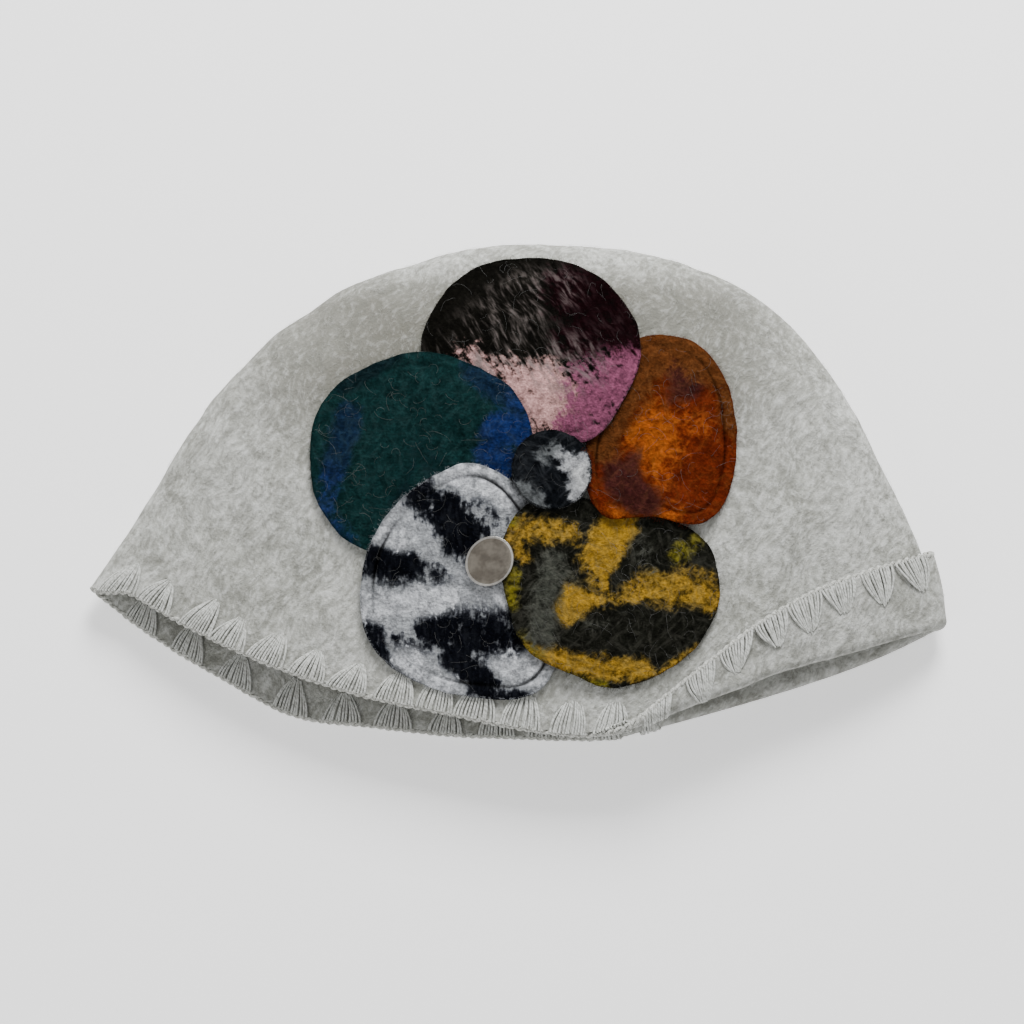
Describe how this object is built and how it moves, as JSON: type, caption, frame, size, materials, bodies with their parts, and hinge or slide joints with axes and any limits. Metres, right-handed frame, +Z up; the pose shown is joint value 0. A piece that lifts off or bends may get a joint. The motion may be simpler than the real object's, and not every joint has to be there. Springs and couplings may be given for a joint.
{
  "type": "felt cap",
  "caption": "Soft felted wool cap lying on its back, hollow and open at the rim, with a turned-up cuff and a flower of felt petals and a small metal disc.",
  "frame": {"origin": "the middle of the cap's footprint, on the surface that it lies on", "axes": "+X to the right across the cap as seen from above, +Y from the rim towards the top of the crown, +Z up out of the cap's front"},
  "size_m": [0.3152, 0.1868, 0.0473],
  "materials": {
    "crown_felt": "brushed wool felt",
    "petal_top_felt": "hairy wool felt",
    "petal_left_felt": "hairy wool felt",
    "petal_right_felt": "hairy wool felt",
    "petal_lower_right_felt": "hairy wool felt",
    "petal_lower_left_felt": "hairy wool felt",
    "flower_centre_felt": "hairy wool felt",
    "badge_metal": "satin"
  },
  "bodies": {
    "root": {"crown": "crown_felt", "petal_top": "petal_top_felt", "petal_left": "petal_left_felt", "petal_right": "petal_right_felt", "petal_lower_right": "petal_lower_right_felt", "petal_lower_left": "petal_lower_left_felt", "flower_centre": "flower_centre_felt", "badge": "badge_metal"}
  },
  "joints": []
}
